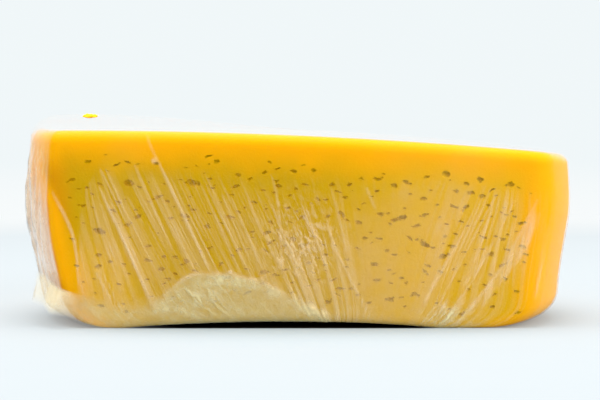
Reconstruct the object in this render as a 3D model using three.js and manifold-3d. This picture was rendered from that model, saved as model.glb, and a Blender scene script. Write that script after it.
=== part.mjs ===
// A wrapped piece of paipa cheese: more than half of a small round wheel, cut straight across,
// drawn tight into clear film. Millimetres, +Z up. The cut face looks along -Y.
// The origin is on the resting face, on the axis of the whole wheel.
import * as THREE from "three";
import { mergeVertices } from "three/addons/utils/BufferGeometryUtils.js";
import Module from "manifold-3d";

// The wheel and its cut
const WHEEL_RADIUS = 82.8; // at the widest height
const WHEEL_HEIGHT = 55.7; // at the middle of the cut face, before the top is made uneven
const WIDEST_HEIGHT = 36;
const CUT_FROM_AXIS = 40; // from the wheel's axis to the cut face
const LEFT_CORNER = 2; // crisp upright edge between cut face and rind on the left
const RIGHT_CORNER = 8; // and the well-rounded one on the right
const CUT_TOP_EDGE = 3.5; // soft upper edge of the cut face
const CUT_BASE_EDGE = 1.5;
const BASE_CORNER_INSET = 12; // the rind's large lower rounding
const BASE_CORNER_HEIGHT = 9;
const TOP_CORNER = 3.2; // the rind's small upper rounding
const SIDE_TAPER = 2.6; // how far the side draws in from the widest height down to the base
const SHOULDER_TAPER = 0.9; // and from the widest height up to the top
// Low down the left side leans in further: fully below one height, not at all above another
const LEFT_DRAW = { reach: 2.4, below: 6, above: 30, inner: 30, outer: 76 };
const RIGHT_DRAW = { reach: 1.8, below: 12, above: 44, inner: 30, outer: 76 }; // and the right side

// Unevenness of the cheese
const TOP_FALL = -0.043; // slope of the top towards +X
const TOP_BOW = -0.00033; // curvature of the top along X, per mm
const TOP_BACK_RISE = 0.5; // how much higher the top is at the back
const HUMP = { x: -70, y: 20, rise: 4.4, reachX: 55, reachY: 30 }; // raised back-left part of the top
const LIFT = { x: -6, halfWidth: 46, rise: 2, depth: 24 }; // arched lower edge of the cut face
const CUT_WAVE = { height: 0.35, alongX: 23, alongZ: 17, depth: 10 }; // hand-cut waviness of the cut face
const RIND_WAVE = { height: 0.5, lobes: 3, bumps: 5, bumpShare: 0.6 }; // out-of-roundness of the rind

// Eyes: the small openings in the cut face
const EYE_COUNT = 54;
const EYE_WIDTH = [1.3, 2.9]; // smallest and largest of the scattered ones
const EYE_FLATNESS = [0.4, 0.75]; // height over width
const EYE_DEPTH = 0.55; // depth over width
const EYE_TILT = 0.45; // radians either way
const EYE_FIELD = { halfWidth: 63, low: 6, high: 47 };
const EYE_TRIES = 14; // candidates for each eye, of which the one with most room is kept
const EYE_SEED = 7;
// The largest eyes, by hand: place on the cut face (x, z), width and height
const LARGE_EYES = [
  { x: 29.6, z: 33, width: 3.6, height: 1.9 },
  { x: 36.4, z: 25.2, width: 4, height: 1.8 },
  { x: 21.5, z: 18.3, width: 2.8, height: 1.8 },
  { x: -31.4, z: 41.5, width: 3.2, height: 2.5 },
  { x: -18.7, z: 40.6, width: 3, height: 1.4 },
  { x: -58.4, z: 27.6, width: 4.6, height: 2.2 },
  { x: -49.9, z: 41.4, width: 3.2, height: 2.4 },
  { x: -9.6, z: 27, width: 3, height: 1.6 },
  { x: -10.9, z: 15, width: 2.9, height: 2 },
  { x: 11.9, z: 33.4, width: 2.6, height: 1.9 },
];

// The film: real film is about 0.01 mm, so its solid is far thicker and stands a little off the cheese
const FILM_THICKNESS = 0.35;
const FILM_GAP = 0.35;
const FILM_HEM_LEVEL = 2; // first ring above the resting face that the film covers
// Tension folds on the cut face lean in towards an upright one at x: their slope far from it,
// and the distance over which they turn to that slope
const FOLD_LEAN = { x: 23, z: 30, slope: 0.47, reach: 32 };
const FOLD_STEP = 8.2; // from one fold to the next, at the height z
const FOLD_HEIGHT = 0.7;
const FOLD_BAND = { hem: 2, low: 10, high: 33, top: 47 }; // full folds from low to high, none at hem and top
const FOLD_TURN = { start: 1, end: 6 }; // behind the cut face, where its folds give way to the rind's
// Bunched film on the left side, by angle round the wheel from its leftmost point
const GATHER = { angle: -0.25, halfAngle: 0.62, height: 1.7, waves: 4, lean: 70 };
const SIDE_FOLDS = { count: 13, height: 0.8, sway: 0.2, swayRise: 15 };

// The loose film pocket at the lower left corner
const POCKET = { front: 10, back: 25, topFront: 9.5, topBack: 15.5, hemFront: 0.9, hemBack: 6.5 };
const POCKET_RUFFLE = { flare: 2.6, wave: 1.3, waves: 3.2, scallop: 1.4, turn: 4 };
const POCKET_STANDOFF = 2.4; // clear of the film's outer face and its folds
const POCKET_COLUMNS = 22;
const POCKET_ROWS = 5;

// Facets
const CHORD_COLUMNS = 30;
const CORNER_COLUMNS = 2;
const ARC_COLUMNS = 28;
const BASE_ROWS = 6;
const SIDE_ROWS = 7;
const TOP_ROWS = 4;
const BASE_RINGS = [0.5, 0.84]; // share of the base outline, from the middle out
const TOP_RINGS = [0.88, 0.66, 0.42, 0.2]; // and of the top outline, from the edge in
const CAP_CENTRE = new THREE.Vector2(0, 18); // where the rings on base and top close

const wasm = await Module();
wasm.setup();

const smooth = (low, high, value) => THREE.MathUtils.smoothstep(value, low, high);
const bell = (value) => Math.exp(-value * value);

// Seeded random numbers from 0 to 1
function randomSource(seed) {
  let state = seed >>> 0;
  return () => {
    state = (Math.imul(state, 1664525) + 1013904223) >>> 0;
    return state / 2 ** 32;
  };
}

// How far a quarter-ellipse corner draws in at a distance from the face that it meets
function cornerInset(distance, inset, height) {
  if (distance >= height) return 0;
  const share = 1 - Math.max(distance, 0) / height;
  return inset * (1 - Math.sqrt(1 - share * share));
}

function rindInset(z) {
  const below = Math.max(0, 1 - z / WIDEST_HEIGHT);
  const above = Math.max(0, (z - WIDEST_HEIGHT) / (WHEEL_HEIGHT - WIDEST_HEIGHT));
  return (
    SIDE_TAPER * below + SHOULDER_TAPER * above * above +
    cornerInset(z, BASE_CORNER_INSET, BASE_CORNER_HEIGHT) +
    cornerInset(WHEEL_HEIGHT - z, TOP_CORNER, TOP_CORNER)
  );
}

function cutInset(z) {
  const low = cornerInset(z, CUT_BASE_EDGE, CUT_BASE_EDGE);
  const high = cornerInset(WHEEL_HEIGHT - z, CUT_TOP_EDGE, CUT_TOP_EDGE);
  return low + high;
}

// Plan outline of the cheese at a height: cut face from left to right, then round the rind.
// A rounded corner of radius r has its centre r inside both the cut face and the rind.
function outlineAt(z) {
  const radius = WHEEL_RADIUS - rindInset(z);
  const cut = CUT_FROM_AXIS - cutInset(z);
  const cornerCentre = (side, r) => {
    const across = Math.sqrt((radius - r) ** 2 - (cut - r) ** 2);
    return new THREE.Vector2(side * across, r - cut);
  };
  const right = cornerCentre(1, RIGHT_CORNER);
  const left = cornerCentre(-1, LEFT_CORNER);
  const points = [];
  const arc = (centre, r, from, to, steps) => {
    for (let i = 0; i < steps; i++) {
      const angle = THREE.MathUtils.lerp(from, to, i / steps);
      points.push(new THREE.Vector2(Math.cos(angle), Math.sin(angle)).multiplyScalar(r).add(centre));
    }
  };
  for (let i = 0; i < CHORD_COLUMNS; i++)
    points.push(new THREE.Vector2(THREE.MathUtils.lerp(left.x, right.x, i / CHORD_COLUMNS), -cut));
  const rindStart = right.angle() - 2 * Math.PI;
  const rindEnd = left.angle();
  arc(right, RIGHT_CORNER, -Math.PI / 2, rindStart, CORNER_COLUMNS);
  arc(new THREE.Vector2(), radius, rindStart, rindEnd, ARC_COLUMNS);
  arc(left, LEFT_CORNER, rindEnd, 1.5 * Math.PI, CORNER_COLUMNS);
  return points;
}

// Height of the uneven top over a place in plan
function topHeight(x, y) {
  const back = smooth(-CUT_FROM_AXIS, WHEEL_RADIUS, y);
  const hump = HUMP.rise * bell((x - HUMP.x) / HUMP.reachX) * bell((y - HUMP.y) / HUMP.reachY);
  return WHEEL_HEIGHT + TOP_FALL * x + TOP_BOW * x * x + TOP_BACK_RISE * back + hump;
}

// How far the left side leans in at a place
function drawAt(draw, across, z) {
  return draw.reach * smooth(draw.inner, draw.outer, across) * (1 - smooth(draw.below, draw.above, z));
}

function sideDraw(x, z) {
  return drawAt(LEFT_DRAW, -x, z) - drawAt(RIGHT_DRAW, x, z);
}

// Moves a point of the even wheel to its place in the uneven cheese
function settle(point) {
  const { x, y, z } = point;
  const behindCut = y + CUT_FROM_AXIS;
  const angle = Math.atan2(y, x);
  const lobes = Math.sin(RIND_WAVE.lobes * angle - 0.9);
  const bumps = RIND_WAVE.bumpShare * Math.sin(RIND_WAVE.bumps * angle + 2.1);
  const rind = RIND_WAVE.height * smooth(0, CUT_FROM_AXIS, behindCut) * (lobes + bumps);
  const swell = 1 + rind / WHEEL_RADIUS;
  const ripple = Math.sin(x / CUT_WAVE.alongX + 0.6) * Math.sin(z / CUT_WAVE.alongZ + 1.1);
  const wave = CUT_WAVE.height * bell(behindCut / CUT_WAVE.depth) * ripple;
  const arch = Math.max(0, 1 - ((x - LIFT.x) / LIFT.halfWidth) ** 2);
  const lift = LIFT.rise * arch * (1 - smooth(0, LIFT.depth, behindCut)) * (1 - z / WHEEL_HEIGHT) ** 2;
  const height = (z * topHeight(x, y)) / WHEEL_HEIGHT + lift;
  return new THREE.Vector3(x * swell + sideDraw(x, z), y * swell + wave, height);
}

// Heights of the rings, close together at the two rounded edges
function ringHeights() {
  const heights = [];
  const quarter = Math.PI / 2;
  const sideTop = WHEEL_HEIGHT - TOP_CORNER;
  for (let i = 0; i < BASE_ROWS; i++)
    heights.push(BASE_CORNER_HEIGHT * (1 - Math.cos((quarter * i) / BASE_ROWS)));
  for (let i = 0; i < SIDE_ROWS; i++)
    heights.push(THREE.MathUtils.lerp(BASE_CORNER_HEIGHT, sideTop, i / SIDE_ROWS));
  for (let i = 0; i <= TOP_ROWS; i++)
    heights.push(sideTop + TOP_CORNER * Math.sin((quarter * i) / TOP_ROWS));
  return heights;
}

// Rings of points from the base's edge, up the side and in over the top
function skinRings() {
  const at = (points, z) => points.map((p) => settle(new THREE.Vector3(p.x, p.y, z)));
  const shrunk = (points, share) => points.map((p) => CAP_CENTRE.clone().lerp(p, share));
  const heights = ringHeights();
  const sides = heights.map((z) => at(outlineAt(z), z));
  const base = outlineAt(0);
  const top = outlineAt(WHEEL_HEIGHT);
  return {
    base: BASE_RINGS.map((share) => at(shrunk(base, share), 0)),
    sides,
    top: TOP_RINGS.map((share) => at(shrunk(top, share), WHEEL_HEIGHT)),
    baseCentre: settle(new THREE.Vector3(CAP_CENTRE.x, CAP_CENTRE.y, 0)),
    topCentre: settle(new THREE.Vector3(CAP_CENTRE.x, CAP_CENTRE.y, WHEEL_HEIGHT)),
  };
}

// A growing list of vertices and triangles
class Facets {
  positions = [];
  triangles = [];
  add(point) {
    this.positions.push(point.x, point.y, point.z);
    return this.positions.length / 3 - 1;
  }
  ring(points) {
    return points.map((p) => this.add(p));
  }
  // Joins two rings of equal length; the faces look outwards where the second ring is above the first
  band(lower, upper, closed = true) {
    const count = closed ? lower.length : lower.length - 1;
    for (let i = 0; i < count; i++) {
      const j = (i + 1) % lower.length;
      this.triangles.push(lower[i], lower[j], upper[j], lower[i], upper[j], upper[i]);
    }
  }
  fan(ring, centre) {
    ring.forEach((corner, i) => this.triangles.push(corner, ring[(i + 1) % ring.length], centre));
  }
  geometry() {
    const made = new THREE.BufferGeometry();
    made.setAttribute("position", new THREE.Float32BufferAttribute(this.positions, 3));
    made.setIndex(this.triangles);
    return made;
  }
}

function solidOf(geometry) {
  const bare = geometry.clone();
  bare.deleteAttribute("normal");
  bare.deleteAttribute("uv");
  const merged = mergeVertices(bare, 1e-4);
  return new wasm.Manifold(
    new wasm.Mesh({
      numProp: 3,
      vertProperties: new Float32Array(merged.attributes.position.array),
      triVerts: new Uint32Array(merged.index.array),
    }),
  );
}

function geometryOf(solid) {
  const mesh = solid.getMesh();
  const made = new THREE.BufferGeometry();
  made.setAttribute("position", new THREE.BufferAttribute(new Float32Array(mesh.vertProperties), 3));
  made.setIndex(new THREE.BufferAttribute(new Uint32Array(mesh.triVerts), 1));
  made.computeVertexNormals();
  return made;
}

// The uncarved body of the cheese
function cheeseBody(rings) {
  const facets = new Facets();
  const layers = [...rings.base, ...rings.sides, ...rings.top].map((points) => facets.ring(points));
  layers.slice(1).forEach((ring, i) => facets.band(layers[i], ring));
  facets.fan([...layers[0]].reverse(), facets.add(rings.baseCentre));
  facets.fan(layers[layers.length - 1], facets.add(rings.topCentre));
  return solidOf(facets.geometry());
}

// Places and sizes of all eyes: the large ones, then scattered ones where there is most room
function eyePlaces() {
  const random = randomSource(EYE_SEED);
  const between = (low, high) => low + (high - low) * random();
  const eyes = LARGE_EYES.map((eye) => ({ ...eye, tilt: between(-EYE_TILT, EYE_TILT) }));
  while (eyes.length < EYE_COUNT) {
    let best = null;
    let bestRoom = -1;
    for (let i = 0; i < EYE_TRIES; i++) {
      const x = between(-EYE_FIELD.halfWidth, EYE_FIELD.halfWidth);
      const z = between(EYE_FIELD.low, EYE_FIELD.high);
      const room = Math.min(...eyes.map((eye) => Math.hypot(eye.x - x, eye.z - z)));
      if (room > bestRoom) {
        best = { x, z };
        bestRoom = room;
      }
    }
    const width = between(...EYE_WIDTH);
    const height = width * between(...EYE_FLATNESS);
    eyes.push({ ...best, width, height, tilt: between(-EYE_TILT, EYE_TILT) });
  }
  return eyes;
}

function eyeSolid(eye) {
  const lump = new THREE.IcosahedronGeometry(0.5, 1);
  lump.scale(eye.width, 2 * EYE_DEPTH * eye.width, eye.height);
  lump.rotateY(eye.tilt);
  const face = settle(new THREE.Vector3(eye.x, -CUT_FROM_AXIS, eye.z));
  lump.translate(face.x, face.y, face.z);
  return solidOf(lump);
}

// Outward direction of the skin at each point of a list of rings, from its neighbours
function skinNormals(layers) {
  const along = new THREE.Vector3();
  const up = new THREE.Vector3();
  return layers.map((ring, row) =>
    ring.map((point, i) => {
      const below = layers[Math.max(row - 1, 0)][i];
      const above = layers[Math.min(row + 1, layers.length - 1)][i];
      along.subVectors(ring[(i + 1) % ring.length], ring[(i + ring.length - 1) % ring.length]);
      up.subVectors(above, below);
      return new THREE.Vector3().crossVectors(along, up).normalize();
    }),
  );
}

// Where the tension fold through a place on the cut face crosses the height FOLD_LEAN.z, from the upright
// fold. The folds' slope is FOLD_LEAN.slope times tanh(distance / reach), which this formula integrates.
function foldOrigin(x, z) {
  const { slope, reach } = FOLD_LEAN;
  const spread = Math.exp((slope * (FOLD_LEAN.z - z)) / reach);
  return reach * Math.asinh(Math.sinh((x - FOLD_LEAN.x) / reach) * spread);
}

// How far the film stands off beyond its even gap: leaning tension folds on the cut face,
// bunched film on the left side and shallow upright folds round the rind
function foldHeight(point) {
  const { x, y, z } = point;
  const ridge = (turns) => Math.max(0, Math.cos(2 * Math.PI * turns)) ** 2;
  const band = smooth(FOLD_BAND.hem, FOLD_BAND.low, z) * (1 - smooth(FOLD_BAND.high, FOLD_BAND.top, z));
  const onCut = 1 - smooth(FOLD_TURN.start, FOLD_TURN.end, y + CUT_FROM_AXIS);
  const cutFold = FOLD_HEIGHT * ridge(foldOrigin(x, z) / FOLD_STEP);
  const angle = Math.atan2(y, -x); // from the leftmost point of the wheel
  const gather = bell((angle - GATHER.angle) / GATHER.halfAngle);
  const bunch = GATHER.height * ridge((angle * GATHER.waves) / (2 * GATHER.halfAngle) + z / GATHER.lean);
  const sway = SIDE_FOLDS.sway * Math.sin(z / SIDE_FOLDS.swayRise);
  const sideFold = SIDE_FOLDS.height * ridge((angle * SIDE_FOLDS.count) / Math.PI + sway);
  return band * (onCut * cutFold + (1 - onCut) * (gather * bunch + (1 - gather) * sideFold));
}

// The film over cut face, rind and top: a thin wall, open underneath
function filmWrap(rings) {
  const layers = [...rings.sides.slice(FILM_HEM_LEVEL), ...rings.top];
  const normals = skinNormals(layers);
  const facets = new Facets();
  const wall = (standoff) =>
    layers.map((ring, row) =>
      facets.ring(
        ring.map((point, i) => {
          return point.clone().addScaledVector(normals[row][i], standoff + foldHeight(point));
        }),
      ),
    );
  const crown = (standoff) => facets.add(rings.topCentre.clone().setZ(rings.topCentre.z + standoff));
  const outer = wall(FILM_GAP + FILM_THICKNESS);
  const inner = wall(FILM_GAP);
  outer.slice(1).forEach((ring, i) => facets.band(outer[i], ring));
  inner.slice(1).forEach((ring, i) => facets.band(ring, inner[i]));
  facets.fan(outer[outer.length - 1], crown(FILM_GAP + FILM_THICKNESS));
  facets.fan([...inner[inner.length - 1]].reverse(), crown(FILM_GAP));
  facets.band(inner[0], outer[0]);
  return facets.geometry();
}

// The loose pocket of film round the lower left corner, as a thin wavy wall.
// reach runs from the cut face (0) round the corner to the left side (1), drop from top (0) to hem (1).
function pocketPoint(reach, drop, standoff) {
  const radius = WHEEL_RADIUS - rindInset(POCKET.topBack);
  const cornerX = Math.sqrt(radius ** 2 - CUT_FROM_AXIS ** 2);
  const run = THREE.MathUtils.lerp(-POCKET.front, POCKET.back, reach);
  const angle = Math.atan2(-CUT_FROM_AXIS, -cornerX) - Math.max(run, 0) / radius;
  const turn = smooth(-POCKET_RUFFLE.turn, POCKET_RUFFLE.turn, run); // from facing the front to facing out
  const radial = new THREE.Vector3(Math.cos(angle), Math.sin(angle), 0);
  const outward = new THREE.Vector3(0, -1, 0).lerp(radial, turn).normalize();
  const place = radial.multiplyScalar(radius);
  place.x -= Math.min(run, 0);
  place.x += sideDraw(place.x, POCKET.topBack);
  const middle = Math.sin(Math.PI * reach);
  const phase = 2 * Math.PI * POCKET_RUFFLE.waves * reach;
  const top = THREE.MathUtils.lerp(POCKET.topFront, POCKET.topBack, smooth(0, 0.6, reach));
  const hem = THREE.MathUtils.lerp(POCKET.hemFront, POCKET.hemBack, reach);
  const scallop = POCKET_RUFFLE.scallop * Math.abs(Math.sin(phase / 2));
  place.z = THREE.MathUtils.lerp(top, hem + scallop, drop);
  const wave = POCKET_RUFFLE.wave * Math.sin(phase + 2 * drop);
  const flare = (POCKET_RUFFLE.flare + wave) * middle * drop ** 1.3;
  return place.addScaledVector(outward, POCKET_STANDOFF + flare + standoff);
}

function filmPocket() {
  const facets = new Facets();
  const wall = (standoff) => {
    const rows = [];
    for (let row = 0; row <= POCKET_ROWS; row++) {
      const points = [];
      for (let column = 0; column <= POCKET_COLUMNS; column++)
        points.push(pocketPoint(column / POCKET_COLUMNS, row / POCKET_ROWS, standoff));
      rows.push(facets.ring(points));
    }
    return rows;
  };
  const outer = wall(FILM_THICKNESS);
  const inner = wall(0);
  for (let row = 0; row < POCKET_ROWS; row++) {
    facets.band(outer[row], outer[row + 1], false);
    facets.band(inner[row + 1], inner[row], false);
  }
  const rim = (walls) => [
    ...walls[0],
    ...walls.slice(1).map((row) => row[POCKET_COLUMNS]),
    ...walls[POCKET_ROWS].slice(0, -1).reverse(),
    ...walls.slice(1, -1).map((row) => row[0]).reverse(),
  ];
  facets.band(rim(inner), rim(outer));
  return facets.geometry();
}

function piece(name, geometry, material) {
  geometry.computeVertexNormals();
  const mesh = new THREE.Mesh(geometry, material);
  mesh.name = name;
  return mesh;
}

const cheeseMaterial = new THREE.MeshStandardMaterial({ color: 0xe0aa33, roughness: 0.5, metalness: 0 });
const filmMaterial = new THREE.MeshStandardMaterial({
  color: 0xf3ead2,
  roughness: 0.18,
  metalness: 0,
  transparent: true,
  opacity: 0.25,
});

const rings = skinRings();
const carved = eyePlaces().reduce((body, eye) => body.subtract(eyeSolid(eye)), cheeseBody(rings));

const wrappedCheese = new THREE.Group();
wrappedCheese.add(
  piece("cheese", geometryOf(carved), cheeseMaterial),
  piece("film_wrap", filmWrap(rings), filmMaterial),
  piece("film_pocket", filmPocket(), filmMaterial),
);

export default wrappedCheese;
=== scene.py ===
import math

import bpy
import numpy as np
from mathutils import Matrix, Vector


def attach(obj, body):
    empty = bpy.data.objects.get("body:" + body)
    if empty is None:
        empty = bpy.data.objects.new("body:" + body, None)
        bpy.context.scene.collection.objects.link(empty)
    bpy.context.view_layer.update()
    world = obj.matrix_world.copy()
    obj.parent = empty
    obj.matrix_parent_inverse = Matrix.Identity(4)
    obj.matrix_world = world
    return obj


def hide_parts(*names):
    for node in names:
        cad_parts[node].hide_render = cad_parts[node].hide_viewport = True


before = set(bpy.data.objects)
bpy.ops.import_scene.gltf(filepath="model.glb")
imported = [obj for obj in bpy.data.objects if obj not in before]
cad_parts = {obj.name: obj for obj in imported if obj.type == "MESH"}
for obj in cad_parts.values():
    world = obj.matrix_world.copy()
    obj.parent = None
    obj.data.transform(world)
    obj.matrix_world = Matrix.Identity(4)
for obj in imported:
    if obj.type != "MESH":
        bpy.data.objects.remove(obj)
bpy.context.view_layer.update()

# The wheel and its cut, as in the solids
WHEEL_RADIUS = 0.0828
WHEEL_HEIGHT = 0.0557
WIDEST_HEIGHT = 0.036
CUT_FROM_AXIS = 0.040
LEFT_CORNER = 0.002
RIGHT_CORNER = 0.008
CUT_TOP_EDGE = 0.0035
CUT_BASE_EDGE = 0.0015
BASE_CORNER_INSET = 0.012
BASE_CORNER_HEIGHT = 0.009
TOP_CORNER = 0.0032
SIDE_TAPER = 0.0026
SHOULDER_TAPER = 0.0009
LEFT_DRAW = {"reach": 0.0024, "below": 0.006, "above": 0.030, "inner": 0.030, "outer": 0.076}
RIGHT_DRAW = {"reach": 0.0018, "below": 0.012, "above": 0.044, "inner": 0.030, "outer": 0.076}
TOP_FALL = -0.043
TOP_BOW = -0.33
TOP_BACK_RISE = 0.0005
HUMP = {"x": -0.070, "y": 0.020, "rise": 0.0044, "reach_x": 0.055, "reach_y": 0.030}
LIFT = {"x": -0.006, "half_width": 0.046, "rise": 0.002, "depth": 0.024}
CUT_WAVE = {"height": 0.00035, "along_x": 0.023, "along_z": 0.017, "depth": 0.010,
            "start_x": 0.6, "start_z": 1.1}
RIND_WAVE = {"height": 0.0005, "lobes": 3, "lobe_start": -0.9, "bumps": 5, "bump_start": 2.1,
             "bump_share": 0.6}
CAP_CENTRE = np.array([0.0, 0.018])

# Eyes in the cut face, by the same rule and seed as in the solid, then many smaller ones
EYE_SEED = 7
EYE_TRIES = 14
SMALL_EYE_TRIES = 2
CARVED_EYES = 54
ALL_EYES = 315
EYE_WIDTH = (0.0013, 0.0029)
SMALL_EYE_WIDTH = (0.0009, 0.0024)
EYE_FLATNESS = (0.4, 0.75)
EYE_DEPTH = 0.40
EYE_STANDS_OUT = 0.35
EYE_TILT = 0.45
EYE_ROUNDS = 3
EYE_FIELD = {"half_width": 0.063, "low": 0.006, "high": 0.047}
SMALL_EYE_FIELD = {"half_width": 0.067, "low": 0.004, "high": 0.050, "under_top": 0.0075,
                   "crowding": 0.75}
# The hollows that make up an eye: shares of its width and height, and how many are added to the first
FIRST_HOLLOW = {"width": 0.95, "height": 0.85}
MORE_HOLLOWS = {"count": (0.4, 2.99), "aside": 0.60, "rise": 0.35, "width": (0.40, 0.75),
                "height": (0.40, 0.68), "tilt": 0.5, "apart": 0.6}
EYE_RAGGED_EDGE = 0.40
EYE_TEAR_SCALE = 1300.0
EYE_LUMP_STEPS = 3
SHARP_EDGE = math.radians(50)
LARGE_EYES = [
    (0.0296, 0.0330, 0.0036, 0.0019),
    (0.0364, 0.0252, 0.0040, 0.0018),
    (0.0215, 0.0183, 0.0028, 0.0018),
    (-0.0314, 0.0415, 0.0032, 0.0025),
    (-0.0187, 0.0406, 0.0030, 0.0014),
    (-0.0584, 0.0276, 0.0046, 0.0022),
    (-0.0499, 0.0414, 0.0032, 0.0024),
    (-0.0096, 0.0270, 0.0030, 0.0016),
    (-0.0109, 0.0150, 0.0029, 0.0020),
    (0.0119, 0.0334, 0.0026, 0.0019),
]

# Film
FILM_GAP = 0.0003
FILM_THICKNESS = 0.00005
FILM_HEM = 0.0002
FOLD_LEAN = {"x": 0.023, "z": 0.030, "slope": 0.47, "reach": 0.022, "top": 0.050, "ends": 0.026}
POCKET = {"front": 0.010, "back": 0.025, "top_front": 0.0095, "top_back": 0.0155,
          "hem_front": 0.0007, "hem_back": 0.0078}
POCKET_RUFFLE = {"flare": 0.0026, "wave": 0.0009, "waves": 3.2, "scallop": 0.0003, "turn": 0.008}
POCKET_STANDOFF = 0.0024
POCKET_CREASE = 0.0005
POCKET_LOOKS = {"air_gap": 0.5, "cream": 0.75, "pale": 0.30, "crumple": 0.02, "speckle": 0.06,
                "glare": 0.12, "sheen": 0.15}
FOLD_HEIGHTS = {"Wrinkle height": 0.00045, "Strip height": 0.00016, "Bunch height": 0.0016,
                "Crackle height": 0.00035, "Layer height": 0.00025}
HEM_LIES_FLAT = {"below": 0.0004, "above": 0.0018}

# Wrinkles that stand out on the cut face: places (x, z) along each, half width, share of full strength
STRONG_WRINKLES = [
    ([(-0.0413, 0.0490), (-0.0315, 0.0284), (-0.0262, 0.0165)], 0.00058, 0.9),
    ([(-0.0446, 0.0565), (-0.0432, 0.0525), (-0.0413, 0.0490)], 0.00045, 0.4),
    # Painted glint: a short wrinkle, raised and glossier like the others, whose milky spot stands for a glint
    ([(-0.0432, 0.0484), (-0.0413, 0.0492)], 0.00090, 1.0),
    ([(-0.0583, 0.0412), (-0.0510, 0.0254), (-0.0421, 0.0054)], 0.00072, 1.0),
    ([(-0.0596, 0.0169), (-0.0532, 0.0054)], 0.00043, 0.8),
    ([(-0.0580, 0.0175), (-0.0518, 0.0050)], 0.00036, 0.6),
    ([(-0.0719, 0.0398), (-0.0651, 0.0267), (-0.0643, 0.0122)], 0.00058, 0.8),
    ([(-0.0578, 0.0462), (-0.0500, 0.0300)], 0.00036, 0.7),
    ([(-0.0563, 0.0462), (-0.0487, 0.0290)], 0.00036, 0.6),
    ([(-0.0481, 0.0478), (-0.0371, 0.0229)], 0.00043, 0.7),
    ([(-0.0435, 0.0455), (-0.0319, 0.0194)], 0.00043, 0.6),
    ([(-0.0287, 0.0418), (-0.0174, 0.0165)], 0.00043, 0.6),
    ([(-0.0252, 0.0389), (-0.0157, 0.0171)], 0.00036, 0.6),
    ([(-0.0226, 0.0389), (-0.0133, 0.0165)], 0.00036, 0.7),
    ([(-0.0200, 0.0383), (-0.0110, 0.0177)], 0.00043, 0.7),
    ([(-0.0151, 0.0374), (-0.0104, 0.0258)], 0.00043, 0.6),
    ([(-0.0083, 0.0445), (-0.0061, 0.0368), (-0.0052, 0.0174)], 0.00050, 0.5),
    ([(0.0002, 0.0368), (0.0052, 0.0238)], 0.00043, 0.5),
    ([(0.0080, 0.0296), (0.0112, 0.0209), (0.0206, 0.0029)], 0.00050, 0.6),
    ([(0.0191, 0.0412), (0.0219, 0.0348)], 0.00058, 0.5),
    ([(-0.0358, 0.0132), (-0.0313, 0.0158), (-0.0284, 0.0160)], 0.00075, 1.0),
    # Painted glint: a short wrinkle, raised and glossier like the others, whose milky spot stands for a glint
    ([(-0.0210, 0.0163), (-0.0196, 0.0167)], 0.00055, 1.1),
    ([(-0.0150, 0.0147), (-0.0118, 0.0141), (-0.0098, 0.0152)], 0.00050, 0.5),
    ([(-0.0255, 0.0112), (-0.0222, 0.0078)], 0.00080, 0.35),
    ([(-0.0334, 0.0085), (-0.0290, 0.0112), (-0.0272, 0.0090)], 0.00080, 0.30),
    ([(0.0476, 0.0284), (0.0358, 0.0068)], 0.00070, 0.5),
    ([(0.0577, 0.0403), (0.0493, 0.0244), (0.0394, 0.0049)], 0.00060, 0.45),
    ([(0.0690, 0.0374), (0.0597, 0.0190), (0.0484, 0.0041)], 0.00090, 0.5),
    ([(0.0623, 0.0374), (0.0522, 0.0171), (0.0435, 0.0041)], 0.00050, 0.5),
    ([(0.0712, 0.0212), (0.0683, 0.0090)], 0.00043, 0.5),
    # Painted glints: two short wrinkles near the bottom right, raised and glossier like the others, whose
    # milky spots stand for glints
    ([(0.0412, 0.0063), (0.0442, 0.0052)], 0.00058, 1.6),
    ([(0.0353, 0.0060), (0.0364, 0.0054)], 0.00043, 1.2),
]
# Fine wrinkles drawn along the folds: how many, between which places along the wrap and heights
FINE_WRINKLES = [
    {"count": 52, "from": -0.061, "to": -0.006, "low": (0.010, 0.030),
     "high": (0.028, 0.047), "width": 0.00030},
    {"count": 16, "from": -0.010, "to": 0.030, "low": (0.010, 0.030),
     "high": (0.025, 0.042), "width": 0.00035},
    {"count": 26, "from": 0.030, "to": 0.070, "low": (0.003, 0.020),
     "high": (0.024, 0.044), "width": 0.00045},
    {"count": 18, "from": 0.030, "to": 0.060, "low": (0.037, 0.041),
     "high": (0.043, 0.047), "width": 0.00030},
]
WRINKLE_SEED = 11
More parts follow.
